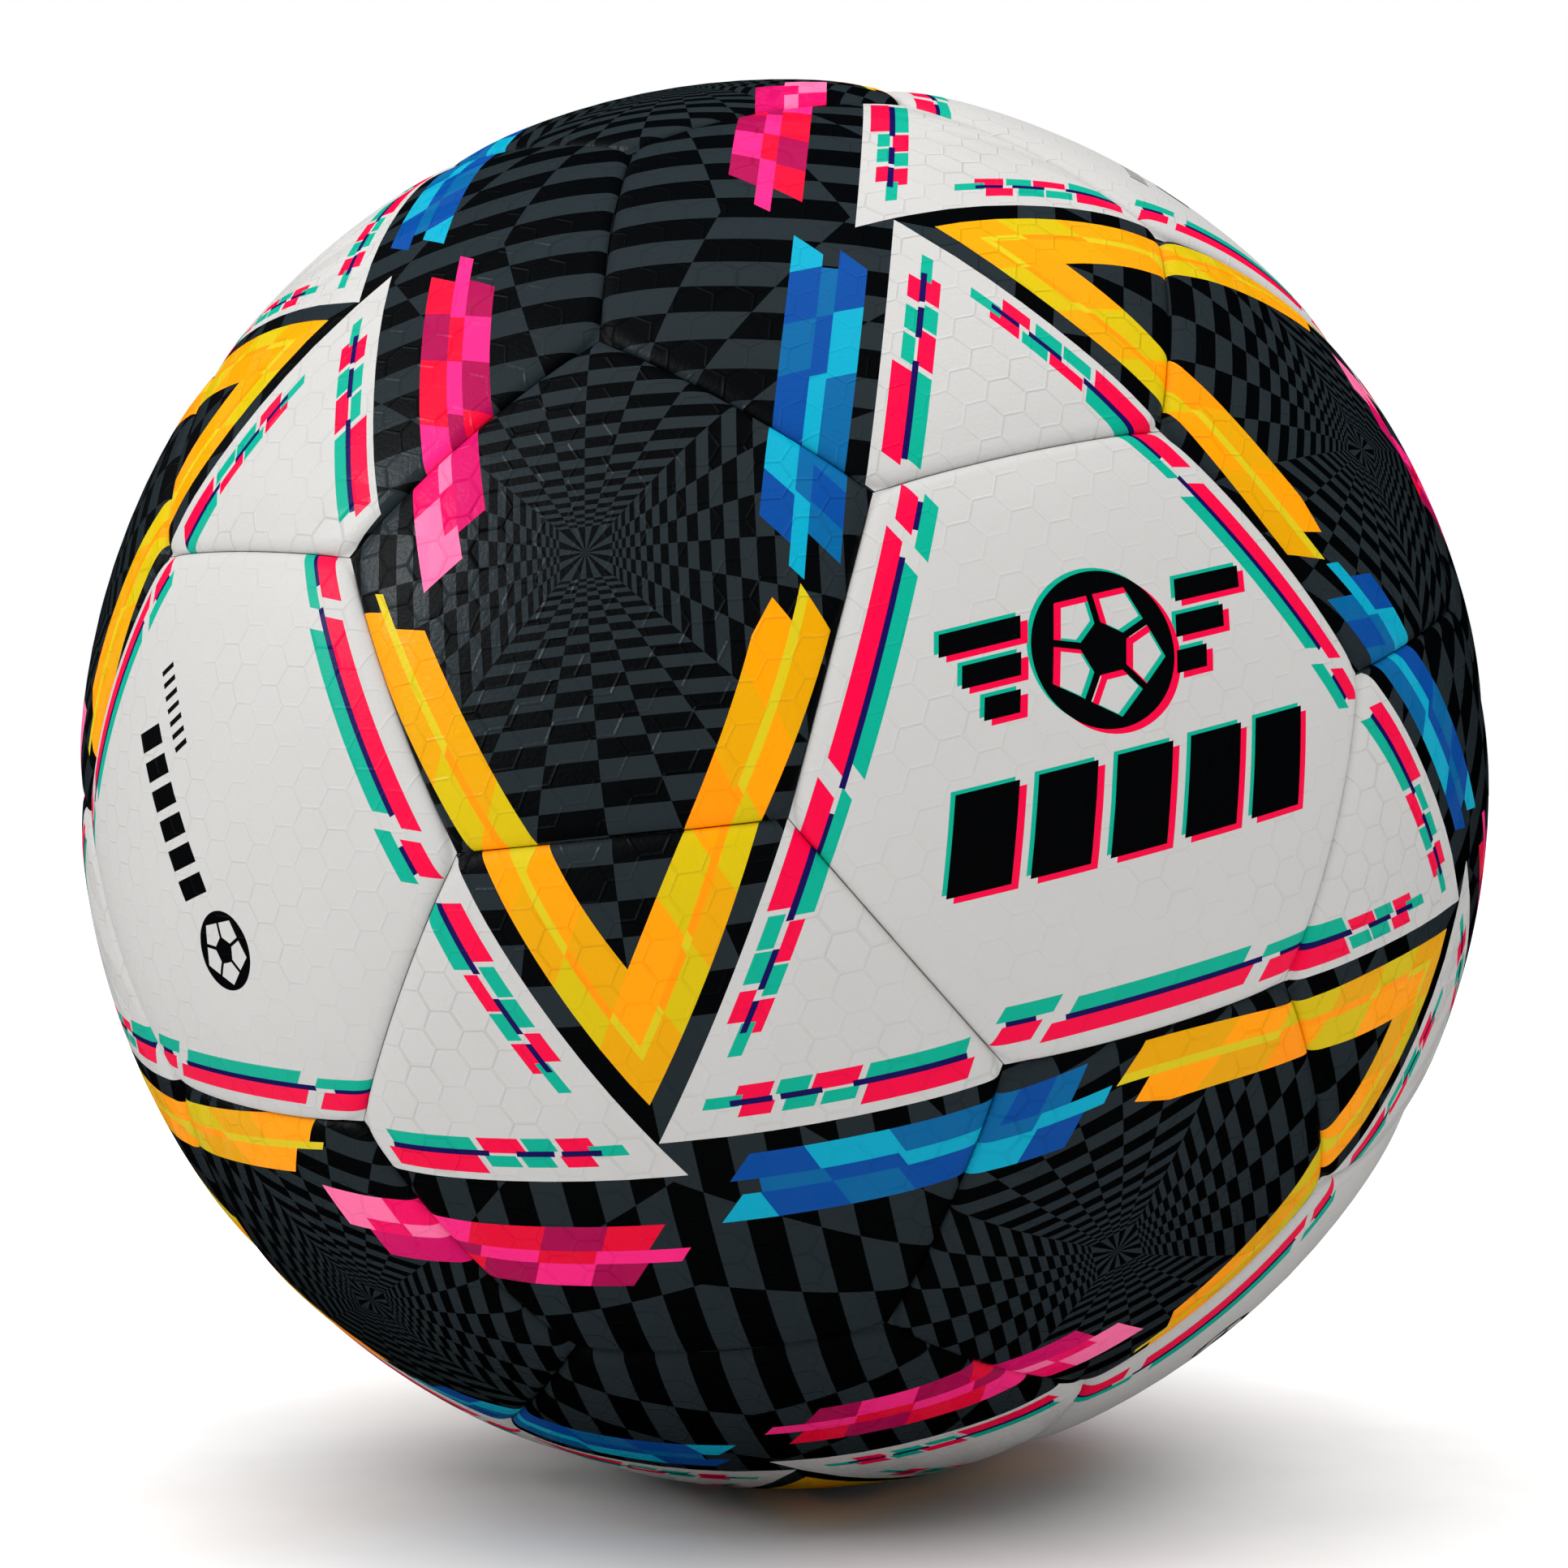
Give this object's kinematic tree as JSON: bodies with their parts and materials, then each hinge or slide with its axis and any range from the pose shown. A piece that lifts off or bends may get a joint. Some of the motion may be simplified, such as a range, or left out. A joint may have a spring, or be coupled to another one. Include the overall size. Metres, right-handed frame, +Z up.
{
  "type": "soccer ball",
  "caption": "Round inflated soccer ball with bonded pentagon and hexagon panels, op-art print, foam, carcass, bladder and a needle valve.",
  "frame": {"origin": "the ball's centre", "axes": "+Z up and -Y towards the viewer, in the pose that the ball is shown in; the valve points to the back, about 23 degrees left of +Y"},
  "size_m": [0.22, 0.22, 0.22],
  "materials": {
    "pentagon_print": "glossy printed PU skin with a moulded honeycomb",
    "white_hexagon_print": "semi-gloss printed PU skin with a moulded honeycomb",
    "dark_hexagon_print": "glossy printed PU skin with a moulded honeycomb",
    "foam": "fine closed-cell foam",
    "adhesive": "dried adhesive film",
    "carcass_fabric": "woven polyester, coated",
    "bladder_rubber": "matte butyl rubber",
    "valve_rubber": "matte moulded rubber",
    "core_rubber": "soft matte rubber"
  },
  "bodies": {
    "root": {"pentagon_cover_01": "pentagon_print", "pentagon_cover_02": "pentagon_print", "pentagon_cover_03": "pentagon_print", "pentagon_cover_04": "pentagon_print", "pentagon_cover_05": "pentagon_print", "pentagon_cover_06": "pentagon_print", "pentagon_cover_07": "pentagon_print", "pentagon_cover_08": "pentagon_print", "pentagon_cover_09": "pentagon_print", "pentagon_cover_10": "pentagon_print", "pentagon_cover_11": "pentagon_print", "pentagon_cover_12": "pentagon_print", "white_hexagon_cover_01": "white_hexagon_print", "white_hexagon_cover_02": "white_hexagon_print", "white_hexagon_cover_03": "white_hexagon_print", "white_hexagon_cover_04": "white_hexagon_print", "white_hexagon_cover_05": "white_hexagon_print", "white_hexagon_cover_06": "white_hexagon_print", "white_hexagon_cover_07": "white_hexagon_print", "white_hexagon_cover_08": "white_hexagon_print", "dark_hexagon_cover_01": "dark_hexagon_print", "dark_hexagon_cover_02": "dark_hexagon_print", "dark_hexagon_cover_03": "dark_hexagon_print", "dark_hexagon_cover_04": "dark_hexagon_print", "dark_hexagon_cover_05": "dark_hexagon_print", "dark_hexagon_cover_06": "dark_hexagon_print", "dark_hexagon_cover_07": "dark_hexagon_print", "dark_hexagon_cover_08": "dark_hexagon_print", "dark_hexagon_cover_09": "dark_hexagon_print", "dark_hexagon_cover_10": "dark_hexagon_print", "dark_hexagon_cover_11": "dark_hexagon_print", "dark_hexagon_cover_12": "dark_hexagon_print", "foam_pentagons": "foam", "foam_white_hexagons": "foam", "foam_dark_hexagons": "foam", "bond_film": "adhesive", "carcass": "carcass_fabric", "bladder": "bladder_rubber", "valve_housing": "valve_rubber", "valve_core": "core_rubber", "balance_pad": "bladder_rubber"}
  },
  "joints": []
}
